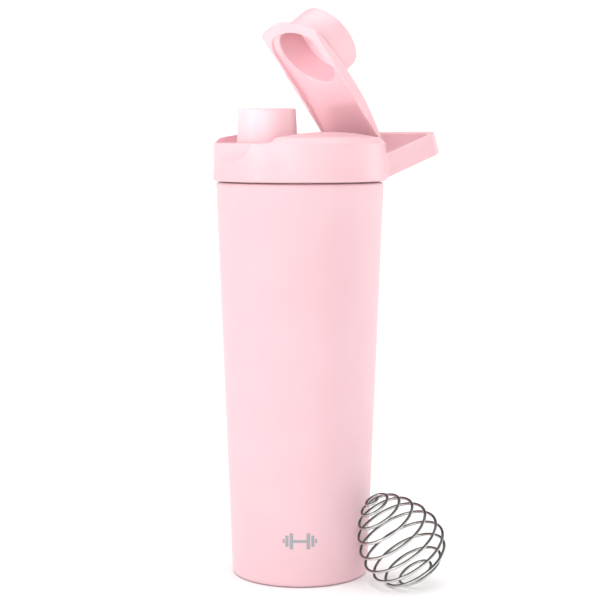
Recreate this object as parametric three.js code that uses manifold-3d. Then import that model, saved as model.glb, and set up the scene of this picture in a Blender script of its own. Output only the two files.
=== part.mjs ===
// Insulated protein shaker bottle with a flip-cap lid, a carry loop and a wire whisk ball.
// Millimetres, +Z up. The origin is the centre of the bottle's resting face; the spout points to -Y,
// the flip hinge and the carry loop are towards +Y, and the flip hinge's axis lies along X.
import * as THREE from 'three';
import { mergeVertices } from 'three/addons/utils/BufferGeometryUtils.js';
import Module from 'manifold-3d';

const wasm = await Module();
wasm.setup();

// ---- Driving dimensions ----
const bottle = {
  baseRadius: 34.6, shoulderRadius: 42.1, shoulderHeight: 199.65, wall: 0.8,
  edgeRadius: 1.8, footGap: 0.25,
};
const neck = { radius: 36.6, top: 208.6, lip: 1.8, wall: 0.8 };
const liner = { wall: 0.7, vacuumGap: 3.0, floor: 7.6 };
const base = { discRadius: 30.6, discThickness: 1.5, plateHeight: 2.2, plateThickness: 0.8 };
const thread = {
  lead: 3, rib: 1.15, height: 1.1, root: 0.35, neckTurns: 1.4, neckStart: 201.3,
  insertTurns: 1.2, insertStart: 201.9, insertAngle: 246,
};
const lid = {
  radius: 43.5, topRadius: 43.2, bottom: 200.4, shoulder: 219.0, chamferRadius: 40.3,
  edge: 0.9, wall: 2.2, innerRadius: 40.4, domeRadius: 180, domeTop: 226.4,
};
const slot = { halfWidth: 24, wall: 1.8, floor: 219.3, deck: 2.1 };
const pocket = { front: 25.6, back: 37.3, floor: 211.6, backWallTop: 215.3, corner: 2 };
const flange = { innerRadius: 32, bottom: 210.2, top: 211.6 };
const spout = { y: -20, baseRadius: 15, topRadius: 14.15, bore: 12.4, top: 236.2, edge: 0.7 };
const notch = { radius: 24, wall: 1.6, y: -64.1, z: 221.9 };
const loop = {
  reach: 69.2, halfWidth: 28.6, band: 3.5, height: 11.0, slope: 19, cornerRadius: 6.5,
  fingerCorner: 4.2, endMiddle: 219.9, rootY: 22,
};
const flip = {
  hingeY: 32.2, hingeZ: 216.5, knuckle: 4.4, halfWidth: 22.9, rimHalfWidth: 20.7, underside: 220.0,
  tipUnderside: 219.6, plate: 2.1, trayEndGap: 2, traySlope: 12, openAngle: 52,
};
const cap = {
  y: -20.5, baseRadius: 18.9, topRadius: 18.0, top: 240.6, edge: 1.5, cavity: 16.6, ceiling: 238.5,
};
const seal = { radius: 16.2, bottom: 236.5, top: 238.2, groove: 0.3 };
const cutReach = 60; // how far cutting shapes run past the part
const pin = { radius: 1.5, clearance: 0.3, halfLength: 26.6 };
const gasket = { innerRadius: 32.6, outerRadius: 37.6, bottom: 208.9, top: 209.9, lipDepth: 0.35 };
const insert = { innerRadius: 38.2, outerRadius: 40.1, bottom: 201.3, top: 209.9 };
const whisk = {
  x: 51.6, y: 21.9, wire: 0.75, radius: 20.15, halfLength: 24.1, egg: 0.305,
  startPolar: 11, endPolar: 168.5, turns: 9.1, phase: 114, tilt: 33.1, azimuth: 257.2, sections: 15,
};

const outerSegments = 48;
const innerSegments = 40;

const finishes = {
  powderCoat: { color: 0xf8bcc6, roughness: 0.55, metalness: 0 },
  lidPlastic: { color: 0xf7b6c0, roughness: 0.42, metalness: 0 },
  steel: { color: 0xc4c6c8, roughness: 0.3, metalness: 1 },
  silicone: { color: 0xf6cdd2, roughness: 0.7, metalness: 0 },
  glassBead: { color: 0x6d6f70, roughness: 0.4, metalness: 0 },
  getterMetal: { color: 0x8e8b86, roughness: 0.6, metalness: 1 },
};

const degrees = THREE.MathUtils.degToRad;

// ---- Geometry helpers ----

// Merged positions and non-degenerate triangles of a geometry, faces pointing out.
function tidyGeometry(source) {
  const bare = source.index ? source.toNonIndexed() : source.clone();
  bare.deleteAttribute('normal');
  bare.deleteAttribute('uv');
  const merged = mergeVertices(bare, 1e-4);
  const { array: ids } = merged.index;
  const triangles = [];
  for (let i = 0; i < ids.length; i += 3) {
    const [a, b, c] = [ids[i], ids[i + 1], ids[i + 2]];
    if (a !== b && b !== c && c !== a) triangles.push(a, b, c);
  }
  merged.setIndex(triangles);
  if (signedVolume(merged) < 0) flipFaces(merged);
  return merged;
}

function signedVolume(geometry) {
  const { position } = geometry.attributes;
  const corner = [new THREE.Vector3(), new THREE.Vector3(), new THREE.Vector3()];
  let volume = 0;
  for (let i = 0; i < geometry.index.count; i += 3) {
    corner.forEach((v, k) => v.fromBufferAttribute(position, geometry.index.getX(i + k)));
    volume += corner[0].dot(corner[1].clone().cross(corner[2])) / 6;
  }
  return volume;
}

function flipFaces(geometry) {
  const ids = geometry.index.array;
  for (let i = 0; i < ids.length; i += 3) {
    [ids[i + 1], ids[i + 2]] = [ids[i + 2], ids[i + 1]];
  }
}

function solid(geometry) {
  const tidy = tidyGeometry(geometry);
  return new wasm.Manifold(new wasm.Mesh({
    numProp: 3,
    vertProperties: new Float32Array(tidy.attributes.position.array),
    triVerts: new Uint32Array(tidy.index.array),
  }));
}

function geometryOf(body) {
  const { vertProperties, triVerts, numProp } = body.getMesh();
  const positions = new Float32Array(vertProperties.length / numProp * 3);
  for (let i = 0; i < positions.length / 3; i += 1) {
    for (let k = 0; k < 3; k += 1) positions[i * 3 + k] = vertProperties[i * numProp + k];
  }
  const geometry = new THREE.BufferGeometry();
  geometry.setAttribute('position', new THREE.BufferAttribute(positions, 3));
  geometry.setIndex(Array.from(triVerts));
  return geometry;
}

function piece(name, geometry, finish) {
  const tidy = tidyGeometry(geometry);
  tidy.computeVertexNormals();
  const mesh = new THREE.Mesh(tidy, new THREE.MeshStandardMaterial(finishes[finish]));
  mesh.name = name;
  return mesh;
}

// Solid of revolution about Z from [radius, height] points; an outline off the axis is closed.
function revolve(outline, segments = innerSegments) {
  const points = outline.map(([r, z]) => new THREE.Vector2(r, z));
  const onAxis = points[0].x === 0 && points[points.length - 1].x === 0;
  if (!onAxis) points.push(points[0].clone());
  return new THREE.LatheGeometry(points, segments).rotateX(Math.PI / 2);
}

// Points of an arc in an outline, angles in degrees.
function arc(r, z, radius, from, to, steps) {
  return Array.from({ length: steps + 1 }, (_, i) => {
    const a = degrees(from + (to - from) * i / steps);
    return [r + radius * Math.cos(a), z + radius * Math.sin(a)];
  });
}

// Prism along X from a shape drawn in (Y, Z), centred on X = 0.
function prismX(shape, width, curveSegments = 8) {
  const geometry = new THREE.ExtrudeGeometry(shape, { depth: width, bevelEnabled: false, curveSegments });
  geometry.translate(0, 0, -width / 2);
  const turn = new THREE.Matrix4().makeBasis(
    new THREE.Vector3(0, 1, 0), new THREE.Vector3(0, 0, 1), new THREE.Vector3(1, 0, 0));
  return geometry.applyMatrix4(turn);
}

function block(x0, x1, y0, y1, z0, z1) {
  const geometry = new THREE.BoxGeometry(x1 - x0, y1 - y0, z1 - z0);
  return geometry.translate((x0 + x1) / 2, (y0 + y1) / 2, (z0 + z1) / 2);
}

function rodX(radius, halfLength, y, z, segments = 16) {
  const geometry = new THREE.CylinderGeometry(radius, radius, halfLength * 2, segments);
  return geometry.rotateZ(Math.PI / 2).translate(0, y, z);
}

// Height of the lid's spherical top at a distance from the axis, lowered by an inset.
function domeHeight(r, inset = 0) {
  const radius = lid.domeRadius - inset;
  return lid.domeTop - lid.domeRadius + Math.sqrt(radius * radius - r * r);
}

// Dome outline from a radius in to the axis.
function domeOutline(fromRadius, inset, steps) {
  return Array.from({ length: steps + 1 }, (_, i) => {
    const r = fromRadius * (1 - i / steps);
    return [r, domeHeight(r, inset)];
  });
}

// Right-hand thread rib on a wall, tapered at both ends; side is 1 outwards, -1 inwards.
function threadRib(wallRadius, side, turns, startHeight, startAngle) {
  const { rib, height, lead, root } = thread;
  const steps = Math.round(turns * innerSegments);
  const rings = Array.from({ length: steps + 1 }, (_, i) => {
    const turn = turns * i / steps;
    const angle = startAngle + 2 * Math.PI * turn;
    const depth = rib * Math.min(1, Math.min(i, steps - i) / 5 + 0.25);
    const section = [[-root, -0.5], [depth, -0.22], [depth, 0.22], [-root, 0.5]];
    return section.map(([out, up]) => {
      const r = wallRadius + side * out;
      const z = startHeight + lead * turn + up * height;
      return new THREE.Vector3(r * Math.cos(angle), r * Math.sin(angle), z);
    });
  });
  return sweptRings(rings);
}

// Closed body through a list of rings with the same number of points, capped at both ends.
function sweptRings(rings) {
  const count = rings[0].length;
  const positions = rings.flat().flatMap((p) => [p.x, p.y, p.z]);
  const triangles = [];
  for (let i = 0; i < rings.length - 1; i += 1) {
    for (let k = 0; k < count; k += 1) {
      const next = (k + 1) % count;
      const [a, b, c, d] = [i * count + k, i * count + next, (i + 1) * count + k, (i + 1) * count + next];
      triangles.push(a, b, c, b, d, c);
    }
  }
  const last = (rings.length - 1) * count;
  for (let k = 1; k < count - 1; k += 1) {
    triangles.push(0, k + 1, k, last, last + k, last + k + 1);
  }
  const geometry = new THREE.BufferGeometry();
  geometry.setAttribute('position', new THREE.Float32BufferAttribute(positions, 3));
  geometry.setIndex(triangles);
  return geometry;
}

// ---- Insulated bottle ----

const bodyRadius = (z) => bottle.baseRadius
  + (bottle.shoulderRadius - bottle.baseRadius) * z / bottle.shoulderHeight;

// Outer wall: turned-in foot, straight taper, shoulder and threaded neck, open at both ends.
function outerShell() {
  const { wall, edgeRadius: foot, footGap, shoulderHeight } = bottle;
  const footZ = footGap + foot;
  const shoulderEdge = 1.2;
  const shoulderR = bodyRadius(shoulderHeight) - shoulderEdge;
  const outside = [
    [base.discRadius + 0.4, footGap],
    ...arc(bodyRadius(footZ) - foot, footZ, foot, -90, 0, 4),
    ...arc(shoulderR, shoulderHeight - shoulderEdge, shoulderEdge, 0, 90, 4),
    [neck.radius + 0.8, shoulderHeight],
    [neck.radius, shoulderHeight + 0.8],
    [neck.radius, neck.top - neck.lip],
  ];
  const inside = [
    [neck.radius - wall, neck.top - neck.lip],
    [neck.radius - wall, shoulderHeight + 0.4],
    [neck.radius - wall + 0.8, shoulderHeight - wall],
    ...arc(shoulderR, shoulderHeight - shoulderEdge, shoulderEdge - wall, 90, 0, 2),
    [bodyRadius(footZ) - wall, footZ],
    [bodyRadius(footZ) - wall * 1.6, footGap + wall],
    [base.discRadius + 0.4, footGap + wall],
  ];
  const shell = solid(revolve([...outside, ...inside], outerSegments));
  return geometryOf(shell.add(solid(threadRib(neck.radius, 1, thread.neckTurns, thread.neckStart, 0))));
}

// Inner cup with a rolled lip that closes over the neck.
function innerLiner() {
  const { wall, vacuumGap, floor } = liner;
  const throat = neck.radius - neck.wall - 0.35 - wall;
  const bendTop = 196;
  const bendBottom = 188;
  const cupTop = bodyRadius(bendBottom) - bottle.wall - vacuumGap;
  const cupBottom = bodyRadius(floor) - bottle.wall - vacuumGap;
  const corner = 9;
  const lipZ = neck.top - neck.lip + 0.3;
  const inside = [
    [0, floor + wall],
    [cupBottom - corner, floor + wall],
    ...arc(cupBottom - corner, floor + corner, corner - wall, -75, 0, 5),
    [cupTop - wall, bendBottom],
    [throat, bendTop],
    [throat, neck.top - 0.7],
    ...arc(throat + 0.7, neck.top - 0.7, 0.7, 180, 90, 2),
  ];
  const outside = [
    ...arc(neck.radius - 0.7, neck.top - 0.7, 0.7, 90, 0, 2),
    [neck.radius, lipZ],
    [neck.radius - neck.wall, lipZ],
    [neck.radius - neck.wall - 0.35, lipZ - 0.6],
    [throat + wall, bendTop],
    [cupTop, bendBottom],
    ...arc(cupBottom - corner, floor + corner, corner, 0, -75, 5),
    [cupBottom - corner, floor],
    [0, floor],
  ];
  return revolve([...inside, ...outside]);
}

// Outer bottom pressed into the foot of the shell, with a sealing hole at its centre.
function outerBottom() {
  const { plateHeight: z, plateThickness: t } = base;
  const rim = bodyRadius(z) - bottle.wall - 0.3;
  const hole = 2.2;
  return revolve([
    [hole, z + 1.4], [8, z + 1.4], [10, z], [rim - 1.2, z], [rim, z + 1], [rim, z + 5],
    [rim - t, z + 5], [rim - t, z + t], [10.4, z + t], [8.4, z + 1.4 + t], [hole, z + 1.4 + t],
  ]);
}

// Solder bead that seals the vacuum space, seated in the outer bottom's hole.
function vacuumSeal() {
  const z = base.plateHeight;
  return revolve([
    [0, z + 0.2], [3.4, z + 0.4], [3.6, z + 1.05], [1.85, z + 1.15], [1.85, z + 2.5], [0, z + 2.7],
  ], 24);
}

// Getter pellet on the vacuum side of the outer bottom.
function getterPellet() {
  const z = base.plateHeight + base.plateThickness + 0.3;
  return revolve([[0, z], [4.2, z], [4.5, z + 0.3], [4.5, z + 1.5], [4.2, z + 1.8], [0, z + 1.8]], 24)
    .translate(0, 18, 0);
}

// Flat cover that the bottle stands on.
function baseDisc() {
  const { discRadius: r, discThickness: t } = base;
  return revolve([[0, 0], [r - 0.5, 0], [r, 0.4], [r, t], [0, t]], outerSegments);
}

// ---- Lid ----

function lidInnerSpace() {
  const { innerRadius, wall } = lid;
  const space = solid(revolve([
    [0, lid.bottom - 2], [innerRadius, lid.bottom - 2], [innerRadius, flange.bottom],
    [flange.innerRadius, flange.bottom], [flange.innerRadius, flange.top], [innerRadius, flange.top],
    [innerRadius, slot.floor - 1], [innerRadius - 2, domeHeight(innerRadius - 2, wall)],
    ...domeOutline(innerRadius - 6, wall, 3),
  ], outerSegments));
  const keepWidth = slot.halfWidth + slot.wall;
  const deck = solid(block(-keepWidth, keepWidth, -50, 50, slot.floor - slot.deck, 240));
  const well = solid(block(-keepWidth, keepWidth, pocket.front - 1.5, 50, flange.bottom - 0.01, 240));
  const behindNotch = rodX(notch.radius + notch.wall, 40, notch.y, notch.z, 64);
  return space.subtract(deck).subtract(well).subtract(solid(behindNotch));
}

// Channel that the flip arm closes into, with a well at the back for its knuckle.
function armChannel() {
  const { front, back, floor, backWallTop, corner } = pocket;
  const reach = cutReach;
  const outline = new THREE.Shape();
  outline.moveTo(-reach, slot.floor);
  outline.lineTo(front, slot.floor);
  outline.lineTo(front, floor + corner);
  outline.lineTo(front + corner, floor);
  outline.lineTo(back - corner, floor);
  outline.lineTo(back, floor + corner);
  outline.lineTo(back, backWallTop);
  outline.lineTo(reach, backWallTop);
  outline.lineTo(reach, lid.domeTop + 20);
  outline.lineTo(-reach, lid.domeTop + 20);
  return solid(prismX(outline, slot.halfWidth * 2));
}

// Carry loop: a flat U-shaped band that rises away from the back of the lid.
function carryLoop() {
  const { reach, halfWidth, band, height, slope, cornerRadius, fingerCorner, endMiddle, rootY } = loop;
  const uShape = (half, end, radius) => {
    const shape = new THREE.Shape();
    shape.moveTo(-half, rootY);
    shape.lineTo(half, rootY);
    shape.lineTo(half, end - radius);
    shape.absarc(half - radius, end - radius, radius, 0, Math.PI / 2, false);
    shape.absarc(-half + radius, end - radius, radius, Math.PI / 2, Math.PI, false);
    return shape;
  };
  const bar = (shape, depth) => {
    const settings = { depth, bevelEnabled: false, curveSegments: 6 };
    return new THREE.ExtrudeGeometry(shape, settings).translate(0, 0, -depth / 2);
  };
  const outer = solid(bar(uShape(halfWidth, reach, cornerRadius), height));
  const finger = uShape(halfWidth - band, reach - band, fingerCorner);
  const inner = solid(bar(finger, height + 2).translate(0, -1, 0));
  const flat = geometryOf(outer.subtract(inner));
  // Tilt about the outer edge so that the end bar's middle stays at its height.
  flat.translate(0, -reach, 0).rotateX(degrees(slope)).translate(0, reach, endMiddle);
  const below = block(-60, 60, 0, 60, lid.bottom - 20, lid.bottom + 0.5);
  return solid(flat).subtract(solid(below));
}

function spoutTube() {
  const { baseRadius, topRadius, top, edge } = spout;
  const start = slot.floor - 1;
  return solid(revolve([
    [0, start], [baseRadius, start], [baseRadius, slot.floor],
    ...arc(topRadius - edge, top - edge, edge, 0, 90, 3),
    [0, top],
  ], innerSegments).translate(0, spout.y, 0));
}

function lidCover() {
  const { radius, topRadius, bottom, shoulder, chamferRadius, edge } = lid;
  const shape = solid(revolve([
    [0, bottom],
    ...arc(radius - edge, bottom + edge, edge, -90, 0, 3),
    [topRadius, shoulder],
    ...domeOutline(chamferRadius, 0, 6),
  ], outerSegments));
  const space = lidInnerSpace();
  const bore = new THREE.CylinderGeometry(spout.bore, spout.bore, 60, innerSegments).rotateX(Math.PI / 2)
    .translate(0, spout.y, spout.top);
  const thumb = rodX(notch.radius, 40, notch.y, notch.z, 64);
  const pinHole = rodX(pin.radius + pin.clearance, pin.halfLength + pin.clearance, flip.hingeY, flip.hingeZ);
  return geometryOf(
    shape.add(carryLoop())
      .subtract(space)
      .subtract(armChannel())
      .subtract(solid(thumb))
      .add(spoutTube())
      .subtract(solid(bore))
      .subtract(solid(pinHole)));
}

// Threaded ring fixed inside the collar.
function lidInsert() {
  const { innerRadius, outerRadius, bottom, top } = insert;
  const ring = solid(revolve([
    [innerRadius + 0.4, bottom], [outerRadius, bottom], [outerRadius, top], [innerRadius, top],
    [innerRadius, bottom + 0.4],
  ]));
  const { insertTurns, insertStart, insertAngle } = thread;
  const rib = threadRib(innerRadius, -1, insertTurns, insertStart, degrees(insertAngle));
  return geometryOf(ring.add(solid(rib)));
}

// Face seal between the neck's lip and the lid's flange, with a thin sealing lip below.
function lidGasket() {
  const { innerRadius: a, outerRadius: b, bottom, top, lipDepth } = gasket;
  return revolve([
    [a, bottom + lipDepth], [a + 0.5, bottom], [a + 1, bottom + lipDepth],
    [b, bottom + lipDepth], [b, top], [a, top],
  ]);
}

// ---- Flip cap, drawn closed ----

function armSide() {
  const { hingeY, hingeZ, knuckle, underside, tipUnderside } = flip;
  const high = lid.domeTop + 6;
  const joinY = 18;
  const side = new THREE.Shape();
  side.moveTo(-cutReach, tipUnderside);
  side.lineTo(hingeY - 2 * knuckle, underside);
  side.quadraticCurveTo(hingeY - knuckle, underside - 0.2, hingeY - knuckle, hingeZ);
  side.absarc(hingeY, hingeZ, knuckle, Math.PI, degrees(430), false);
  side.quadraticCurveTo(hingeY - 4, hingeZ + 5.6, joinY, domeHeight(joinY + 12) + 0.9);
  side.lineTo(joinY, high);
  side.lineTo(-cutReach, high);
  return side;
}

function flipCap() {
  const { halfWidth, rimHalfWidth, plate, hingeY, hingeZ } = flip;
  const low = flip.underside - 12;
  const dome = (inset) => solid(revolve([
    [0, low], [lid.topRadius, low], [lid.topRadius, domeHeight(lid.topRadius, inset)],
    ...domeOutline(lid.topRadius - 3, inset, 6),
  ], outerSegments));
  const arm = solid(prismX(armSide(), halfWidth * 2)).intersect(dome(0));
  const underDome = dome(plate);
  const trayEnd = hingeY - flip.knuckle - flip.trayEndGap;
  const slopeTop = trayEnd - flip.traySlope;
  const trayOutline = new THREE.Shape();
  trayOutline.moveTo(-cutReach, low - 1);
  trayOutline.lineTo(trayEnd, low - 1);
  trayOutline.lineTo(trayEnd, flip.underside + 0.4);
  trayOutline.lineTo(slopeTop, domeHeight(slopeTop, plate));
  trayOutline.lineTo(slopeTop, lid.domeTop);
  trayOutline.lineTo(-cutReach, lid.domeTop);
  const tray = underDome.intersect(solid(prismX(trayOutline, rimHalfWidth * 2)));
  const hat = solid(revolve([
    [0, flip.underside - 1], [cap.baseRadius, flip.underside - 1], [cap.baseRadius, flip.underside + 4],
    ...arc(cap.topRadius - cap.edge, cap.top - cap.edge, cap.edge, 0, 90, 3), [0, cap.top],
  ]).translate(0, cap.y, 0));
  const cavity = solid(revolve([
    [0, low], [cap.cavity, low], [cap.cavity, cap.ceiling - 0.4], [cap.cavity - 0.4, cap.ceiling], [0, cap.ceiling],
  ]).translate(0, cap.y, 0));
  const pinHole = solid(rodX(pin.radius + pin.clearance, 30, hingeY, hingeZ));
  const closed = geometryOf(
    arm.subtract(tray).add(hat.subtract(underDome)).subtract(cavity).subtract(pinHole));
  return closed.translate(0, -hingeY, -hingeZ);
}

// Soft seal disc in the cap that presses on the spout's rim.
function capSeal() {
  const { radius: r, bottom, top, groove } = seal;
  const disc = revolve([
    [0, bottom + groove], [spout.bore - 1.5, bottom + groove], [spout.bore - 1, bottom], [r - 0.3, bottom],
    [r, bottom + 0.3], [r, top], [0, top],
  ]);
  return disc.translate(0, cap.y - flip.hingeY, -flip.hingeZ);
}

// ---- Whisk ball ----

// Egg-shaped spiral: the wire winds about the axis in equal steps from the small end to the large one.
class WhiskPath extends THREE.Curve {
  getPoint(t, target = new THREE.Vector3()) {
    const polar = degrees(whisk.startPolar + (whisk.endPolar - whisk.startPolar) * t);
    const turn = degrees(whisk.phase) - 2 * Math.PI * whisk.turns * t;
    const r = whisk.radius * Math.sin(polar) * (1 - whisk.egg * Math.cos(polar));
    return target.set(r * Math.cos(turn), r * Math.sin(turn), whisk.halfLength * Math.cos(polar));
  }
}

function whiskBall() {
  const ring = new THREE.Shape();
  ring.absarc(0, 0, whisk.wire, 0, 2 * Math.PI, false);
  const coil = new THREE.ExtrudeGeometry(ring, {
    steps: Math.round(whisk.turns * whisk.sections), curveSegments: 3, bevelEnabled: false,
    extrudePath: new WhiskPath(),
  });
  coil.rotateY(degrees(whisk.tilt)).rotateZ(degrees(whisk.azimuth));
  coil.computeBoundingBox();
  return coil.translate(whisk.x, whisk.y, -coil.boundingBox.min.z);
}

// ---- Assembly ----

const group = new THREE.Group();
group.add(
  piece('outer_shell', outerShell(), 'powderCoat'),
  piece('inner_liner', innerLiner(), 'steel'),
  piece('outer_bottom', outerBottom(), 'steel'),
  piece('vacuum_seal', vacuumSeal(), 'glassBead'),
  piece('getter', getterPellet(), 'getterMetal'),
  piece('base_disc', baseDisc(), 'steel'),
);

const lidGroup = new THREE.Group();
lidGroup.add(
  piece('lid_cover', lidCover(), 'lidPlastic'),
  piece('lid_insert', lidInsert(), 'lidPlastic'),
  piece('lid_gasket', lidGasket(), 'silicone'),
  piece('hinge_pin', rodX(pin.radius, pin.halfLength, flip.hingeY, flip.hingeZ), 'steel'),
);
group.add(lidGroup);

const flipGroup = new THREE.Group();
flipGroup.position.set(0, flip.hingeY, flip.hingeZ);
flipGroup.rotation.x = -degrees(flip.openAngle);
flipGroup.add(piece('flip_cap', flipCap(), 'lidPlastic'), piece('cap_seal', capSeal(), 'silicone'));
lidGroup.add(flipGroup);

group.add(piece('whisk_ball', whiskBall(), 'steel'));

export default group;
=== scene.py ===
import math

import bpy
import numpy as np
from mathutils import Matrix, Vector


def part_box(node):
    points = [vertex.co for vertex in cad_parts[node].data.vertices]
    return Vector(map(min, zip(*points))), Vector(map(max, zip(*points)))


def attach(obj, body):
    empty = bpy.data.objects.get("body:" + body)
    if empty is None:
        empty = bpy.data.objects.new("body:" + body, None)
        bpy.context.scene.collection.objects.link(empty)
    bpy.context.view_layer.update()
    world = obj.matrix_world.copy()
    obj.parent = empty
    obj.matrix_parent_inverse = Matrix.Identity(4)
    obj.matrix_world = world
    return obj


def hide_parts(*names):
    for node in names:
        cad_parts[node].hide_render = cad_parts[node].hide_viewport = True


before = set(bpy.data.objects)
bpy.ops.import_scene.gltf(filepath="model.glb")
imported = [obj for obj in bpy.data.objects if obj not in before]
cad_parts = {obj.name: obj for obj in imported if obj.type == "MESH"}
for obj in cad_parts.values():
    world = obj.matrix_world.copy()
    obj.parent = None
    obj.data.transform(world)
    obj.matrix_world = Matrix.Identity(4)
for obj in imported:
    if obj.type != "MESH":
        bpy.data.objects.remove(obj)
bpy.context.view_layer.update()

# Shapes are worked out in millimetres and written to the meshes in metres.
toMetres = 0.001


# Soft solids: a shape is a function that is negative inside.

def roundBoth(a, b, radius):
    # inside both a and b, with the edge between them rounded
    u = np.maximum(radius + a, 0)
    v = np.maximum(radius + b, 0)
    return np.minimum(np.maximum(a, b), -radius) + np.sqrt(u * u + v * v)


def roundEither(a, b, radius):
    # inside a or b, with a fillet in the corner between them
    u = np.maximum(radius - a, 0)
    v = np.maximum(radius - b, 0)
    return np.maximum(np.minimum(a, b), radius) - np.sqrt(u * u + v * v)


def roundCut(a, b, radius):
    # inside a and outside b, with the edge rounded
    return roundBoth(a, -b, radius)


def ball(x, y, z, height, radius):
    # round about a point on the bottle's axis
    return np.sqrt(x * x + y * y + (z - height) ** 2) - radius


def taper(x, y, z, centreY, lowRadius, highRadius, low, high):
    # side wall of a round cone about an upright axis
    slope = (lowRadius - highRadius) / (high - low)
    wall = np.sqrt(x * x + (y - centreY) ** 2) - (lowRadius - slope * (z - low))
    return wall / math.sqrt(1 + slope * slope)


def crossRod(y, z, centreY, centreZ, radius):
    # endless round bar along X
    return np.sqrt((y - centreY) ** 2 + (z - centreZ) ** 2) - radius


def roundedPlate(x, y, halfWidth, nearEnd, farEnd, corner):
    # plan of a plate with rounded far corners
    middle = (nearEnd + farEnd) / 2
    u = np.abs(x) - halfWidth + corner
    v = np.abs(y - middle) - (farEnd - nearEnd) / 2 + corner
    outside = np.sqrt(np.maximum(u, 0) ** 2 + np.maximum(v, 0) ** 2)
    return outside + np.minimum(np.maximum(u, v), 0) - corner


def gradientOf(field, points, step=0.02):
    columns = []
    for axis in range(3):
        shift = np.zeros(3)
        shift[axis] = step
        ahead = field(*(points + shift).T)
        behind = field(*(points - shift).T)
        columns.append((ahead - behind) / (2 * step))
    return np.stack(columns, 1)


def settle(field, points, reach, rounds):
    # slide points along the gradient until they lie on the surface
    for _ in range(rounds):
        value = field(*points.T)
        slope = gradientOf(field, points)
        size = np.maximum((slope ** 2).sum(1), 0.05)
        move = -(value / size)[:, None] * slope
        length = np.maximum(np.linalg.norm(move, axis=1), 1e-9)
        points = points + move * np.minimum(1, reach / length)[:, None]
    return points


def skinOf(field, low, high, cell):
    # one quad mesh over the surface of a soft solid
    axes = [np.arange(a, b + cell, cell) for a, b in zip(low, high)]
    shape = tuple(len(a) for a in axes)
    x, y, z = np.meshgrid(*axes, indexing="ij", sparse=True)
    values = np.broadcast_to(field(x, y, z), shape)
    inside = values < 0
    corners = [(i, j, k) for i in (0, 1) for j in (0, 1) for k in (0, 1)]
    count = np.zeros([n - 1 for n in shape], np.int8)
    for i, j, k in corners:
        count += inside[i:shape[0] - 1 + i, j:shape[1] - 1 + j, k:shape[2] - 1 + k]
    mixed = (count > 0) & (count < 8)
    cells = np.argwhere(mixed)
    number = np.full(mixed.shape, -1, np.int64)
    number[mixed] = np.arange(len(cells))
    total = np.zeros((len(cells), 3))
    hits = np.zeros(len(cells))
    for a in corners:
        for axis in range(3):
            if a[axis]:
                continue
            b = tuple(1 if n == axis else a[n] for n in range(3))
            va = values[tuple((cells + a).T)]
            vb = values[tuple((cells + b).T)]
            crosses = (va < 0) != (vb < 0)
            part = np.where(crosses, va / np.where(crosses, va - vb, 1), 0)
            point = np.array(a) + part[:, None] * (np.array(b) - np.array(a))
            total += point * crosses[:, None]
            hits += crosses
    points = np.array(low) + (cells + total / hits[:, None]) * cell
    quads = []
    for axis in range(3):
        first, second = (axis + 1) % 3, (axis + 2) % 3
        here = [slice(1, n - 1) for n in shape]
        there = list(here)
        here[axis], there[axis] = slice(0, shape[axis] - 1), slice(1, shape[axis])
        start, end = inside[tuple(here)], inside[tuple(there)]
        nodes = np.argwhere(start != end) + 1
        nodes[:, axis] -= 1
        leaving = start[start != end]
        one, two = np.eye(3, dtype=int)[first], np.eye(3, dtype=int)[second]
        ring = [number[tuple((nodes - s).T)] for s in (0 * one, one, one + two, two)]
        ring = np.stack(ring, 1)
        quads.append(np.where(leaving[:, None], ring, ring[:, ::-1]))
    quads = np.concatenate(quads)
    points = settle(field, points, cell, 3)
    edges = np.concatenate([quads[:, [n, (n + 1) % 4]] for n in range(4)])
    weight = np.bincount(edges[:, 0], minlength=len(points)).astype(float)
    for _ in range(3):
        sums = [np.bincount(edges[:, 0], points[edges[:, 1], n], len(points)) for n in range(3)]
        mean = np.stack(sums, 1) / weight[:, None]
        points = settle(field, 0.4 * points + 0.6 * mean, cell, 1)   # even out the cells
    points = settle(field, points, cell, 2)
    return points, quads


# Turning, sweeping and finishing meshes.

def finishMesh(name, points, faces, body, nodes, material, normals=None):
    mesh = bpy.data.meshes.new(name)
    mesh.from_pydata((np.asarray(points) * toMetres).tolist(), [], [list(f) for f in faces])
    mesh.polygons.foreach_set("use_smooth", [True] * len(mesh.polygons))
    if normals is None:
        mesh.set_sharp_from_angle(angle=math.radians(38))
    else:
        mesh.normals_split_custom_set_from_vertices(normals.tolist())
    mesh.materials.append(material)
    piece = bpy.data.objects.new(name, mesh)
    bpy.context.scene.collection.objects.link(piece)
    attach(piece, body)
    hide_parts(*nodes)
    print("made", name, len(mesh.polygons), "faces")
    return piece


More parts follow.
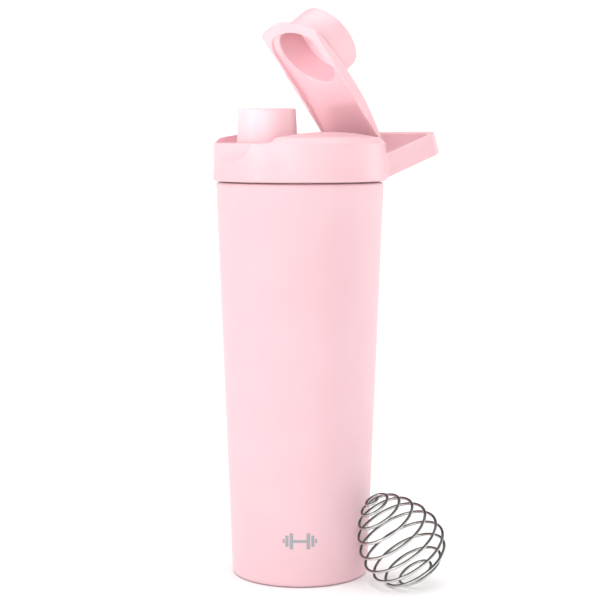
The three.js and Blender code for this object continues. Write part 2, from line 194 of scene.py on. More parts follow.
def softOutline(corners, closed=True, steps=7, gap=0.35, run=8.0):
    # outline from (radius, height, fillet) corners, with close rows beside each fillet
    count = len(corners)
    points = []
    for n, (r, z, fillet) in enumerate(corners):
        here = np.array([r, z])
        if fillet == 0 or (not closed and n in (0, count - 1)):
            points.append(here)
            continue
        before = np.array(corners[n - 1][:2])
        after = np.array(corners[(n + 1) % count][:2])
        u = (before - here) / np.linalg.norm(before - here)
        v = (after - here) / np.linalg.norm(after - here)
        half = math.acos(float(np.clip(u @ v, -1, 1))) / 2
        reach = fillet / math.tan(half)
        centre = here + (u + v) / np.linalg.norm(u + v) * fillet / math.sin(half)
        start, end = here + u * reach - centre, here + v * reach - centre
        sweep = math.atan2(start[0] * end[1] - start[1] * end[0], float(start @ end))
        for k in range(steps + 1):
            a = sweep * k / steps
            points.append(centre + np.array([
                start[0] * math.cos(a) - start[1] * math.sin(a),
                start[0] * math.sin(a) + start[1] * math.cos(a)]))
    full = []
    for n, here in enumerate(points):
        full.append(here)
        if n == len(points) - 1 and not closed:
            break
        after = points[(n + 1) % len(points)]
        length = float(np.linalg.norm(after - here))
        if length > 3 * gap:
            inner = np.linspace(gap, length - gap, 2 + int(length // run)) / length
            full += [here + (after - here) * t for t in inner]
    return np.array(full)


def turned(outline, closed=True, segments=192, bulge=None):
    # solid of revolution; bulge moves the wall out by radius, height and angle
    angles = np.linspace(0, 2 * math.pi, segments, endpoint=False)
    points, rings = [], []
    for r, z in outline:
        first = len(points)
        if r < 1e-6:
            points.append((0, 0, z))
            rings.append([first] * segments)
            continue
        wide = r + (bulge(r, z, angles) if bulge else 0 * angles)
        points += list(zip(wide * np.cos(angles), wide * np.sin(angles), np.full(segments, z)))
        rings.append(list(range(first, first + segments)))
    faces = []
    for n in range(len(rings) - (0 if closed else 1)):
        a, b = rings[n], rings[(n + 1) % len(rings)]
        for k in range(segments):
            m = (k + 1) % segments
            face = list(dict.fromkeys((a[k], a[m], b[m], b[k])))
            if len(face) > 2:
                faces.append(face)
    return np.array(points), faces


def swept(path, radius, sides=14, domes=4):
    # round wire along a path of points, with domed ends
    forward = np.gradient(path, axis=0)
    forward /= np.linalg.norm(forward, axis=1)[:, None]
    side = np.cross(forward[0], (0.3, 0.5, 0.8))
    rings = []
    for n, point in enumerate(path):
        side = side - forward[n] * (side @ forward[n])
        side /= np.linalg.norm(side)
        rings.append((point, forward[n], side, np.cross(forward[n], side), radius))
    caps = [math.pi / 2 * k / domes for k in range(1, domes)]
    front, back = rings[0], rings[-1]

    def capRing(end, sign, a):
        centre = end[0] + sign * end[1] * radius * math.sin(a)
        return (centre, *end[1:4], radius * math.cos(a))

    lead = [capRing(front, -1, a) for a in caps]
    tail = [capRing(back, 1, a) for a in caps]
    rings = lead[::-1] + rings + tail
    turn = np.linspace(0, 2 * math.pi, sides, endpoint=False)
    points = [front[0] - front[1] * radius]
    for centre, _, u, v, r in rings:
        points += list(centre + r * (np.outer(np.cos(turn), u) + np.outer(np.sin(turn), v)))
    points.append(back[0] + back[1] * radius)
    faces = []
    last = len(points) - 1
    for k in range(sides):
        m = (k + 1) % sides
        faces.append((0, 1 + m, 1 + k))
        for n in range(len(rings) - 1):
            a, b = 1 + n * sides, 1 + (n + 1) * sides
            faces.append((a + k, a + m, b + m, b + k))
        faces.append((last, last - sides + k, last - sides + m))
    return np.array(points), faces


# Materials.

def fromScreen(red, green, blue):
    # a colour as it looks on screen, 0 to 255, as the shader's linear value
    def linear(c):
        c = c / 255
        return c / 12.92 if c <= 0.04045 else ((c + 0.055) / 1.055) ** 2.4
    return (linear(red), linear(green), linear(blue), 1)


class Finish:
    # a material with one Principled shader, built node by node
    def __init__(self, name, **sockets):
        self.material = bpy.data.materials.new(name)
        self.material.use_nodes = True
        self.tree = self.material.node_tree
        self.shader = self.tree.nodes["Principled BSDF"]
        for socket, value in sockets.items():
            self.shader.inputs[socket.replace("_", " ")].default_value = value
        coordinates = self.tree.nodes.new("ShaderNodeTexCoord")
        self.place = coordinates.outputs["Object"]
        self.facing = coordinates.outputs["Normal"]

    def link(self, output, target):
        self.tree.links.new(output, target)

    def node(self, kind, **inputs):
        made = self.tree.nodes.new(kind)
        for key, value in inputs.items():
            socket = made.inputs[key.replace("_", " ")]
            if isinstance(value, bpy.types.NodeSocket):
                self.link(value, socket)
            else:
                socket.default_value = value
        return made

    def math(self, kind, first, second=None, clamp=False):
        made = self.tree.nodes.new("ShaderNodeMath")
        made.operation = kind
        made.use_clamp = clamp
        for n, value in enumerate((first, second)):
            if isinstance(value, bpy.types.NodeSocket):
                self.link(value, made.inputs[n])
            elif value is not None:
                made.inputs[n].default_value = value
        return made.outputs[0]

    def noise(self, scale, detail=2.0, roughness=0.5, stretch=None):
        place = self.place
        if stretch:
            mapping = self.node("ShaderNodeMapping", Vector=place, Scale=stretch)
            place = mapping.outputs[0]
        settings = {"Vector": place, "Scale": scale, "Detail": detail, "Roughness": roughness}
        return self.node("ShaderNodeTexNoise", **settings).outputs["Fac"]

    def between(self, value, low, high, outLow=0.0, outHigh=1.0):
        made = self.tree.nodes.new("ShaderNodeMapRange")
        self.link(value, made.inputs["Value"])
        for key, number in (("From Min", low), ("From Max", high), ("To Min", outLow), ("To Max", outHigh)):
            made.inputs[key].default_value = number
        return made.outputs["Result"]

    def blendColours(self, factor, first, second):
        made = self.tree.nodes.new("ShaderNodeMix")
        made.data_type = "RGBA"
        self.link(factor, made.inputs["Factor"])
        for name, colour in (("A", first), ("B", second)):
            socket = next(s for s in made.inputs if s.name == name and s.type == "RGBA")
            if isinstance(colour, bpy.types.NodeSocket):
                self.link(colour, socket)
            else:
                socket.default_value = colour
        return next(s for s in made.outputs if s.type == "RGBA")

    def colourFrom(self, value, first, second, low=0.3, high=0.7):
        tone = self.blendColours(self.between(value, low, high), first, second)
        self.drive("Base Color", tone)

    def roughnessFrom(self, value, middle, down, up):
        self.drive("Roughness", self.between(value, 0.3, 0.7, middle - down, middle + up))

    def bump(self, height, distance, below=None):
        made = self.node("ShaderNodeBump", Height=height, Distance=distance, Strength=1.0)
        if below is not None:
            self.link(below, made.inputs["Normal"])
        return made.outputs["Normal"]

    def drive(self, socket, output):
        self.link(output, self.shader.inputs[socket])


# Pastel powder coat on the steel body, with the etched mark where the steel shows.
coatLook = {
    "light": fromScreen(232, 192, 199),
    "deep": fromScreen(230, 189, 196),
    "roughness": 0.56,
    "sheen": 0.25,
    "peelSize": 0.0006,
    "peelDepth": 0.0000035,
    "markHeight": 0.0239,    # middle of the etched mark above the floor
    "markTurn": -36.0,       # degrees round the body
    "markDepth": 0.00004,
    "markSteel": fromScreen(150, 152, 156),
    "markLight": fromScreen(176, 178, 182),
    # half of the dumbbell: where each bar's middle is, its half length and its half height
    "markBars": (
        (0.0, 0.0048, 0.00075), (0.0042, 0.0009, 0.0041), (0.0064, 0.0008, 0.0029), (0.0080, 0.0005, 0.0011),
    ),
    "markCorner": 0.0004,
}


def powderCoat():
    look = coatLook
    finish = Finish("powderCoat", Sheen_Weight=look["sheen"], Sheen_Roughness=0.45)
    tone = finish.noise(38, detail=3)
    colour = finish.blendColours(finish.between(tone, 0.35, 0.65), look["light"], look["deep"])
    peel = finish.noise(1 / look["peelSize"], detail=2)
    grit = finish.noise(2.6 / look["peelSize"], detail=1)
    coat = finish.bump(peel, look["peelDepth"])
    coat = finish.bump(grit, look["peelDepth"] * 0.35, below=coat)
    mark = etchedMark(finish, look)
    lines = finish.noise(60, detail=3, stretch=(1, 1, 60))
    steel = finish.blendColours(lines, look["markSteel"], look["markLight"])
    finish.drive("Base Color", finish.blendColours(mark, colour, steel))
    finish.drive("Metallic", finish.between(mark, 0, 1, 0, 0.85))
    satin = finish.between(peel, 0.3, 0.7, look["roughness"] - 0.03, look["roughness"] + 0.03)
    rough = finish.math("MULTIPLY", satin, finish.between(mark, 0, 1, 1, 0.8))
    finish.drive("Roughness", rough)
    coatTop = finish.math("SUBTRACT", 1.0, mark)
    finish.drive("Normal", finish.bump(coatTop, look["markDepth"], below=coat))
    return finish.material


def etchedMark(finish, look):
    # a plain dumbbell drawn from rounded bars, 1 inside the mark and 0 outside
    def subtract(a, b):
        return finish.math("SUBTRACT", a, b)

    def times(a, b):
        return finish.math("MULTIPLY", a, b)

    turn = math.radians(look["markTurn"])
    x, y, z = finish.node("ShaderNodeSeparateXYZ", Vector=finish.place).outputs
    across = subtract(times(y, math.cos(turn)), times(x, math.sin(turn)))
    facing = finish.math("ADD", times(x, math.cos(turn)), times(y, math.sin(turn)))
    along = finish.math("ABSOLUTE", across)
    up = finish.math("ABSOLUTE", subtract(z, look["markHeight"]))
    nearest = None
    for middle, halfLength, halfHeight in look["markBars"]:
        a = subtract(finish.math("ABSOLUTE", subtract(along, middle)), halfLength)
        b = subtract(up, halfHeight)
        edge = finish.math("SMOOTH_MAX", a, b)
        edge.node.inputs[2].default_value = look["markCorner"]
        nearest = edge if nearest is None else finish.math("MINIMUM", nearest, edge)
    shape = finish.between(nearest, 0.00005, -0.00005)
    return finish.math("MULTIPLY", shape, finish.math("GREATER_THAN", facing, 0.0))


# Moulded plastic of the lid, the flip cap and the threaded ring.
plasticLook = {
    "light": fromScreen(231, 188, 194),
    "deep": fromScreen(229, 184, 191),
    "roughness": 0.38,
    "grainSize": 0.00035,
    "grainDepth": 0.0000022,
    "flowDepth": 0.000012,
}


def mouldedPlastic():
    look = plasticLook
    finish = Finish("mouldedPlastic", Specular_IOR_Level=0.55)
    tone = finish.noise(45, detail=3)
    finish.colourFrom(tone, look["light"], look["deep"], 0.35, 0.65)
    grain = finish.noise(1 / look["grainSize"], detail=2, roughness=0.6)
    flow = finish.noise(120, detail=2)
    finish.roughnessFrom(grain, look["roughness"], 0.03, 0.04)
    normal = finish.bump(grain, look["grainDepth"])
    finish.drive("Normal", finish.bump(flow, look["flowDepth"], below=normal))
    return finish.material


# Soft seals, a paler shade of the plastic.
siliconeLook = {
    "light": fromScreen(236, 200, 206), "deep": fromScreen(232, 192, 199), "roughness": 0.52,
    "glowDepth": (0.002, 0.001, 0.001), "dustDepth": 0.000004,
}


def softSilicone():
    look = siliconeLook
    finish = Finish("softSilicone", Roughness=look["roughness"], Subsurface_Weight=0.15)
    finish.shader.inputs["Subsurface Radius"].default_value = look["glowDepth"]
    finish.colourFrom(finish.noise(300, detail=3), look["light"], look["deep"])
    dust = finish.noise(2600, detail=2)
    finish.roughnessFrom(dust, look["roughness"], 0.06, 0.08)
    finish.drive("Normal", finish.bump(dust, look["dustDepth"]))
    return finish.material


# Bare stainless steel: brushed round the axis, or drawn along a wire.
steelLook = {
    "light": fromScreen(206, 208, 210), "dark": fromScreen(170, 172, 176), "roughness": 0.26,
    "lineDepth": 0.000004,
}


def brushedSteel():
    look = steelLook
    finish = Finish("brushedSteel", Metallic=1.0, Roughness=look["roughness"])
    lines = finish.noise(90, detail=4, stretch=(1, 1, 45))
    finish.colourFrom(lines, look["dark"], look["light"])
    finish.roughnessFrom(lines, look["roughness"], 0.05, 0.09)
    finish.drive("Normal", finish.bump(lines, look["lineDepth"]))
    return finish.material


# the dark tone is a painted reflection of a dim ceiling, laid on the wire where it faces up
wireLook = {
    "light": fromScreen(222, 222, 219), "worn": fromScreen(196, 196, 193), "dark": fromScreen(82, 82, 81),
    "paintedReflectionFrom": 0.05, "paintedReflectionFull": 0.55, "roughness": 0.15, "streakDepth": 0.0000025,
}


def drawnWire():
    look = wireLook
    finish = Finish("drawnWire", Metallic=1.0, Roughness=look["roughness"])
    streak = finish.noise(900, detail=3)
    patch = finish.noise(160, detail=2)
    bright = finish.blendColours(finish.between(patch, 0.3, 0.7), look["worn"], look["light"])
    # painted reflection: darker where it faces up, a painted stand-in for the dim ceiling that the wire would
    # mirror
    upward = finish.node("ShaderNodeSeparateXYZ", Vector=finish.facing).outputs["Z"]
    finish.colourFrom(upward, bright, look["dark"], look["paintedReflectionFrom"], look["paintedReflectionFull"])
    finish.roughnessFrom(streak, look["roughness"], 0.04, 0.07)
    finish.drive("Normal", finish.bump(streak, look["streakDepth"]))
    return finish.material


solderLook = {
    "light": fromScreen(150, 151, 153), "dark": fromScreen(108, 109, 112), "roughness": 0.35,
    "speckScale": 900, "speckDepth": 0.00002,
}
getterLook = {
    "light": fromScreen(120, 117, 112), "dark": fromScreen(92, 90, 86), "roughness": 0.6,
    "speckScale": 2600, "speckDepth": 0.00003,
}


def dullMetal(name, look):
    finish = Finish(name, Metallic=0.9, Roughness=look["roughness"])
    speck = finish.noise(look["speckScale"], detail=4, roughness=0.6)
    finish.colourFrom(speck, look["dark"], look["light"])
    finish.roughnessFrom(speck, look["roughness"], 0.08, 0.12)
    finish.drive("Normal", finish.bump(speck, look["speckDepth"]))
    return finish.material


floorLook = {"light": (0.93, 0.93, 0.93, 1), "dark": (0.91, 0.91, 0.91, 1), "radius": 9.0, "sides": 96}


def paleFloor():
    look = floorLook
    finish = Finish("paleFloor", Roughness=0.9, Specular_IOR_Level=0.1)
    tone = finish.noise(2.5, detail=2)
    finish.drive("Base Color", finish.blendColours(tone, look["light"], look["dark"]))
    return finish.material


coat = powderCoat()
plastic = mouldedPlastic()
silicone = softSilicone()
steel = brushedSteel()
wire = drawnWire()
solder = dullMetal("solderBead", solderLook)
getterMetal = dullMetal("sinteredGetter", getterLook)
print("materials ready")


# The insulated bottle.

bottle = {
    "baseRadius": 34.6, "shoulderRadius": 42.1, "shoulderHeight": 199.65, "wall": 0.8,
    "footRadius": 1.8, "footGap": 0.25, "footLevel": 0.4, "shoulderEdge": 1.2,
    "neckRadius": 36.6, "neckTop": 208.6, "neckLip": 1.8, "discRadius": 30.6, "discGap": 0.4,
}
thread = {
    "lead": 3.0, "depth": 1.15, "halfBase": 0.55, "halfCrest": 0.2,
    "neckTurns": 1.4, "neckStart": 201.3, "insertTurns": 1.2, "insertStart": 201.9, "insertAngle": 246,
    "rowStep": 0.12,    # rows this close carry the rib's shape
}


def bodyRadius(z):
    # the wall leans out evenly from the foot to the shoulder
    rise = z / bottle["shoulderHeight"]
    return bottle["baseRadius"] + (bottle["shoulderRadius"] - bottle["baseRadius"]) * rise


def threadRib(z, angles, turns, startHeight, startAngle):
    # how far the rib of a right-hand thread stands out of its wall
    total = np.zeros_like(angles)
    for lap in range(-1, math.ceil(turns) + 1):
        turn = (angles - startAngle) / (2 * math.pi) + lap
        away = np.abs(z - startHeight - thread["lead"] * turn)
        part = np.clip((thread["halfBase"] - away) / (thread["halfBase"] - thread["halfCrest"]), 0, 1)
        part = part * part * (3 - 2 * part)
        ends = np.clip(np.minimum(turn, turns - turn) * 8, 0, 1)
        total = np.maximum(total, part * ends * thread["depth"])
    return total


def outerShell():
    b = bottle
    top, wall, neck = b["neckTop"] - b["neckLip"], b["wall"], b["neckRadius"]
    shoulder, foot, hole = b["shoulderHeight"], b["footGap"], b["discRadius"] + b["discGap"]
    outside = [
        (hole, foot, 0.3), (bodyRadius(b["footLevel"]), foot, b["footRadius"]),
        (bodyRadius(shoulder), shoulder, b["shoulderEdge"]), (neck, shoulder, 0.8), (neck, top, 0.2),
    ]
    inside = [
        (neck - wall, top, 0.2), (neck - wall, shoulder - wall, 0.8),
        (bodyRadius(shoulder) - wall, shoulder - wall, 0.6), (bodyRadius(foot) - wall, foot + wall, 1),
        (hole, foot + wall, 0.3),
    ]
    outline = softOutline(outside + inside)
    rows = []
    for here, after in zip(outline, np.roll(outline, -1, axis=0)):
        climb = after[1] - here[1]
        onNeck = abs(here[0] - neck) < 0.01 and abs(after[0] - neck) < 0.01 and climb > 0.2
        steps = int(climb / thread["rowStep"]) if onNeck else 1
        rows += [here + (after - here) * k / steps for k in range(steps)]

    def bulge(r, z, angles):
        onWall = abs(r - neck) < 0.1 and shoulder + 0.7 < z < top - 0.05
        return threadRib(z, angles, thread["neckTurns"], thread["neckStart"], 0) if onWall else 0 * angles

    points, faces = turned(rows, segments=256, bulge=bulge)
    finishMesh("bottleShell", points, faces, "bottle", ["outer_shell"], coat)


liner = {"wall": 0.7, "vacuumGap": 3.0, "floor": 7.6, "bendTop": 196.0, "bendBottom": 188.0, "corner": 9.0}


def innerLiner():
    k, b = liner, bottle
    throat = b["neckRadius"] - b["wall"] - 0.35 - k["wall"]
    cupTop = bodyRadius(k["bendBottom"]) - b["wall"] - k["vacuumGap"]
    cupBottom = bodyRadius(k["floor"]) - b["wall"] - k["vacuumGap"]
    lip = b["neckTop"] - b["neckLip"] + 0.3
    floor = k["floor"]
    outline = softOutline([
        (0, floor + k["wall"] + 0.9, 0), (16, floor + k["wall"] + 0.9, 3), (19, floor + k["wall"], 3),
        (cupBottom - k["wall"], floor + k["wall"], k["corner"] - k["wall"]),
        (cupTop - k["wall"], k["bendBottom"], 6), (throat, k["bendTop"], 6), (throat, b["neckTop"], 0.7),
        (b["neckRadius"], b["neckTop"], 0.7), (b["neckRadius"], lip, 0.15),
        (b["neckRadius"] - b["wall"] - 0.1, lip, 0.1), (throat + k["wall"], lip - 0.6, 0.1),
        (throat + k["wall"], k["bendTop"], 5), (cupTop, k["bendBottom"], 6),
        (cupBottom, floor, k["corner"]), (19.3, floor, 3), (16.3, floor + 0.9, 3), (0, floor + 0.9, 0),
    ], closed=False)
    points, faces = turned(outline, closed=False)
    finishMesh("linerCup", points, faces, "bottle", ["inner_liner"], steel)


base = {
    "plateHeight": 2.2, "plateThickness": 0.8, "discThickness": 1.5, "sealHole": 2.2, "dimple": 1.4,
    "getterRadius": 4.5, "getterHeight": 1.8, "getterPlace": (0, 18, 0),
}


def bottomPlate():
    z, t, dimple = base["plateHeight"], base["plateThickness"], base["dimple"]
    rim = bodyRadius(z) - bottle["wall"] - 0.3
    outline = softOutline([
        (base["sealHole"], z + dimple, 0.2), (8, z + dimple, 1), (10, z, 1), (rim, z, 1.2), (rim, z + 5, 0.2),
        (rim - t, z + 5, 0.2), (rim - t, z + t, 0.6), (10.4, z + t, 1), (8.4, z + dimple + t, 1),
        (base["sealHole"], z + dimple + t, 0.2),
    ])
    points, faces = turned(outline, segments=128)
    finishMesh("bottomPlate", points, faces, "bottle", ["outer_bottom"], steel)


def solderBead():
    z, stem = base["plateHeight"], base["sealHole"] - 0.35
    outline = softOutline([
        (0, z + 0.2, 0), (3.4, z + 0.4, 0.4), (3.6, z + 1.05, 0.2), (stem, z + 1.15, 0.2),
        (stem, z + 2.5, 0.4), (0, z + 2.7, 0),
    ], closed=False, gap=0.1)
    points, faces = turned(outline, closed=False, segments=64)
    finishMesh("solderBead", points, faces, "bottle", ["vacuum_seal"], solder)


def getterPellet():
    z, r = base["plateHeight"] + base["plateThickness"] + 0.3, base["getterRadius"]
    top = z + base["getterHeight"]
    outline = softOutline([(0, z, 0), (r, z, 0.4), (r, top, 0.4), (0, top, 0)], closed=False, gap=0.2)
    points, faces = turned(outline, closed=False, segments=64)
    points = points + base["getterPlace"]
    finishMesh("getterPellet", points, faces, "bottle", ["getter"], getterMetal)


def baseDisc():
    r, t = bottle["discRadius"], base["discThickness"]
    outline = softOutline([
        (0, 0.35, 0), (22, 0.35, 0.6), (22.6, 0, 0.3), (r, 0, 0.5), (r, t, 0.25), (0, t, 0),
    ], closed=False)
    points, faces = turned(outline, closed=False)
    finishMesh("baseDisc", points, faces, "bottle", ["base_disc"], steel)


outerShell()
innerLiner()
bottomPlate()
solderBead()
getterPellet()
baseDisc()
print("bottle ready")


# The screw lid.

lid = {
    "radius": 43.5, "topRadius": 43.2, "bottom": 200.4, "shoulder": 219.0, "chamferRadius": 40.3,
    "chamferRise": 2.9, "innerRadius": 40.4, "wall": 2.2, "domeRadius": 180.0, "domeTop": 226.4,
    "bottomEdge": 1.2, "shoulderEdge": 0.35, "roofFillet": 1.0, "innerFillet": 0.6, "innerEdge": 0.3,
    "boreStart": 206.0, "cell": 0.5,
}
channel = {
    "halfWidth": 24.0, "wall": 1.8, "floor": 219.3, "deck": 2.1, "front": 25.6, "back": 37.3,
    "wellFloor": 211.6, "wellFillet": 2.0, "wellWall": 1.5, "backWallTop": 215.3, "wallFillet": 0.4,
    "edge": 0.3, "reach": 52.0,
}
flange = {"innerRadius": 32.0, "bottom": 210.2, "top": 211.6, "overlap": 0.2}
spout = {
    "y": -20.0, "baseRadius": 15.0, "topRadius": 14.15, "bore": 12.4, "top": 236.2, "edge": 0.7,
    "fillet": 0.7, "root": 1.8,
}
thumb = {"radius": 24.0, "wall": 1.6, "y": -64.1, "z": 221.9, "edge": 0.2}
loop = {
    "reach": 69.2, "halfWidth": 28.6, "band": 3.5, "height": 11.2, "slope": 19.0, "corner": 6.5,
    "fingerCorner": 4.2, "endMiddle": 219.9, "rootY": 22.0, "farRoot": 60.0, "edge": 0.8, "blend": 1.3,
}
hinge = {"y": 32.2, "z": 216.5, "pin": 1.5, "clearance": 0.3, "pinHalf": 26.6}
domeCentre = lid["domeTop"] - lid["domeRadius"]


def carryLoop(x, y, z):
    a = math.radians(loop["slope"])
    along = (y - loop["reach"]) * math.cos(a) + (z - loop["endMiddle"]) * math.sin(a) + loop["reach"]
    across = -(y - loop["reach"]) * math.sin(a) + (z - loop["endMiddle"]) * math.cos(a)
    wide, band = loop["halfWidth"], loop["band"]
    start = -loop["farRoot"]    # the near ends lie out of the way, behind the root
    outer = roundedPlate(x, along, wide, start, loop["reach"], loop["corner"])
    finger = roundedPlate(x, along, wide - band, start - 4, loop["reach"] - band, loop["fingerCorner"])
    sides = np.maximum(np.maximum(outer, -finger), loop["rootY"] - along)
    bar = roundBoth(sides, np.abs(across) - loop["height"] / 2, loop["edge"])
    return np.maximum(bar, lid["bottom"] + 0.5 - z)


def lidHollow(x, y, z):
    far = np.sqrt(x * x + y * y)
    wall = far - lid["innerRadius"]
    low = np.maximum(wall, z - flange["bottom"])
    middle = (flange["bottom"] + flange["top"]) / 2
    half = (flange["top"] - flange["bottom"]) / 2 + flange["overlap"]
    throat = np.maximum(far - flange["innerRadius"], np.abs(z - middle) - half)
    roof = ball(x, y, z, domeCentre, lid["domeRadius"] - lid["wall"])
    keep = channel["halfWidth"] + channel["wall"]
    deck = np.maximum(np.abs(x) - keep, channel["floor"] - channel["deck"] - z)
    well = np.maximum(np.abs(x) - keep, channel["front"] - channel["wellWall"] - y)
    well = np.maximum(well, flange["bottom"] - z)
    scoop = crossRod(y, z, thumb["y"], thumb["z"], thumb["radius"] + thumb["wall"])
    high = roundBoth(np.maximum(wall, flange["top"] - z), roof, lid["roofFillet"])
    for keptSolid in (deck, well, scoop):
        high = roundCut(high, keptSolid, lid["innerFillet"])
    return np.minimum(np.minimum(low, throat), high)


def armChannel(x, y, z):
    c = channel
    pocket = np.abs(y - (c["front"] + c["back"]) / 2) - (c["back"] - c["front"]) / 2
    pocket = roundBoth(pocket, c["wellFloor"] - z, c["wellFillet"])
    behind = np.maximum(c["backWallTop"] - z, c["front"] + 2 - y)
    profile = np.minimum(np.minimum(c["floor"] - z, pocket), behind)
    profile = np.maximum(profile, np.abs(y) - c["reach"])
    return roundBoth(np.abs(x) - c["halfWidth"], profile, c["wallFillet"])


def lidCover(x, y, z):
    collar = taper(x, y, z, 0, lid["radius"], lid["topRadius"], lid["bottom"], lid["shoulder"])
    drop = math.atan2(lid["chamferRise"], lid["topRadius"] - lid["chamferRadius"])
    far = np.sqrt(x * x + y * y)
    bevel = (far - lid["topRadius"]) * math.sin(drop) + (z - lid["shoulder"]) * math.cos(drop)
    dome = ball(x, y, z, domeCentre, lid["domeRadius"])
    shape = roundBoth(collar, bevel, lid["shoulderEdge"])
    shape = roundBoth(shape, dome, lid["shoulderEdge"])
    shape = roundBoth(shape, lid["bottom"] - z, lid["bottomEdge"])
    shape = roundEither(shape, carryLoop(x, y, z), loop["blend"])
    shape = np.maximum(shape, lid["bottom"] - z)
    shape = roundCut(shape, lidHollow(x, y, z), lid["innerEdge"])
    shape = roundCut(shape, armChannel(x, y, z), channel["edge"])
    shape = roundCut(shape, crossRod(y, z, thumb["y"], thumb["z"], thumb["radius"]), thumb["edge"])
    floor = channel["floor"]
    tube = taper(x, y, z, spout["y"], spout["baseRadius"], spout["topRadius"], floor, spout["top"])
    tube = roundBoth(tube, z - spout["top"], spout["edge"])
    tube = np.maximum(tube, floor - spout["root"] - z)
    shape = roundEither(shape, tube, spout["fillet"])
    bore = np.sqrt(x * x + (y - spout["y"]) ** 2) - spout["bore"]
    shape = roundCut(shape, np.maximum(bore, lid["boreStart"] - z), spout["edge"])
    hole = crossRod(y, z, hinge["y"], hinge["z"], hinge["pin"] + hinge["clearance"])
    hole = np.maximum(hole, np.abs(x) - hinge["pinHalf"] - hinge["clearance"])
    return roundCut(shape, hole, 0.2)


def makeLidCover():
    side = lid["radius"] + 1
    low = (-side, -side, lid["bottom"] - 0.6)
    high = (side, loop["reach"] + 1.3, spout["top"] + 0.8)
    points, quads = skinOf(lidCover, low, high, lid["cell"])
    normals = gradientOf(lidCover, points)
    finishMesh("lidCover", points, quads, "lid", ["lid_cover"], plastic, normals)


threadedRing = {"innerRadius": 38.2, "outerRadius": 40.1, "bottom": 201.3, "top": 209.9}


def lidInsert():
    k = threadedRing
    outline = softOutline([
        (k["innerRadius"], k["bottom"], 0.4), (k["outerRadius"], k["bottom"], 0.3),
        (k["outerRadius"], k["top"], 0.3), (k["innerRadius"], k["top"], 0.3),
    ])
    rows = []
    for here, after in zip(outline, np.roll(outline, -1, axis=0)):
        inWall = abs(here[0] - k["innerRadius"]) < 0.01
        steps = max(1, int((here[1] - after[1]) / thread["rowStep"])) if inWall else 1
        rows += [here + (after - here) * n / steps for n in range(steps)]

    startAngle = math.radians(thread["insertAngle"])

    def bulge(r, z, angles):
        if r > k["innerRadius"] + 0.05:
            return 0 * angles
        return -threadRib(z, angles, thread["insertTurns"], thread["insertStart"], startAngle)

    points, faces = turned(rows, segments=256, bulge=bulge)
    finishMesh("threadedRing", points, faces, "lid", ["lid_insert"], plastic)


gasket = {"innerRadius": 32.6, "outerRadius": 37.6, "bottom": 208.9, "top": 209.9, "lipDepth": 0.35}


def lidGasket():
    k = gasket
    a, b, face = k["innerRadius"], k["outerRadius"], k["bottom"] + k["lipDepth"]
    outline = softOutline([
        (a, face, 0.15), (a + 0.5, k["bottom"], 0.15), (a + 1, face, 0.15), (b, face, 0.25),
        (b, k["top"], 0.25), (a, k["top"], 0.25),
    ], gap=0.08, steps=5)
    points, faces = turned(outline)
    finishMesh("lidGasket", points, faces, "lid_carrier", ["lid_gasket"], silicone)


def hingePin():
    half = hinge["pinHalf"]
    path = np.array([(x, hinge["y"], hinge["z"]) for x in np.linspace(-half + 0.5, half - 0.5, 24)])
    points, faces = swept(path, hinge["pin"], sides=32, domes=6)
    points[:, 0] = np.clip(points[:, 0], -half, half)
    finishMesh("hingePin", points, faces, "lid", ["hinge_pin"], steel)


makeLidCover()
lidInsert()
lidGasket()
hingePin()
print("lid ready")


# The flip cap, drawn closed and then opened about the hinge.

flip = {
    "knuckle": 4.4, "halfWidth": 22.9, "rimHalfWidth": 20.7, "underside": 220.0, "tipUnderside": 219.6,
    "slopeLength": 80.0, "plate": 2.1, "open": 52.0, "edge": 0.3, "lipEdge": 0.3, "trayCorner": 6.5,
    "trayReach": 37.6, "trayEndGap": 2.0, "trayFillet": 1.2, "trayEdge": 0.45, "tipCorner": 0.3,
    "backY": 33.7, "backZ": 220.6, "backFacing": (0.2584, 0.966), "backFillet": 3.0,
    "knuckleFillet": 2.4, "cell": 0.34,
}
cap = {
    "y": -20.5, "baseRadius": 18.9, "topRadius": 18.0, "top": 240.6, "edge": 1.6, "cavity": 16.6,
    "ceiling": 238.5, "ceilingFillet": 0.8, "mouthEdge": 0.8, "fillet": 0.9, "root": 220.9,
}
capSealSize = {"radius": 16.5, "bottom": 236.5, "top": 238.2, "groove": 0.3}


def backSlope(y, z, below=0.0):
    # the arm's top falls away to the knuckle behind the cap
    outward, upward = flip["backFacing"]
    return (y - flip["backY"]) * outward + (z - flip["backZ"] + below) * upward


def flipArm(x, y, z):
    f = flip
    dome = ball(x, y, z, domeCentre, lid["domeRadius"])
    plate = roundBoth(dome, backSlope(y, z), f["backFillet"])
    fall = (f["underside"] - f["tipUnderside"]) / f["slopeLength"]
    below = f["underside"] + fall * (y - hinge["y"] + 2 * f["knuckle"]) - z
    plate = roundBoth(plate, np.maximum(below, y - hinge["y"] - 1), f["lipEdge"])
    knuckle = crossRod(y, z, hinge["y"], hinge["z"], f["knuckle"])
    plate = roundEither(plate, knuckle, f["knuckleFillet"])
    rim = np.sqrt(x * x + y * y) - lid["topRadius"]
    outline = roundBoth(np.abs(x) - f["halfWidth"], rim, f["tipCorner"])
    return roundBoth(plate, outline, f["edge"])


def armTray(x, y, z):
    f = flip
    under = ball(x, y, z, domeCentre, lid["domeRadius"] - f["plate"])
    under = roundBoth(under, backSlope(y, z, f["plate"]), f["backFillet"])
    back = hinge["y"] - f["knuckle"] - f["trayEndGap"]
    front = np.sqrt(x * x + y * y) - f["trayReach"]
    plan = roundBoth(np.abs(x) - f["rimHalfWidth"], front, f["trayCorner"])
    plan = roundBoth(plan, y - back, f["backFillet"])
    return roundBoth(under, plan, f["trayFillet"])


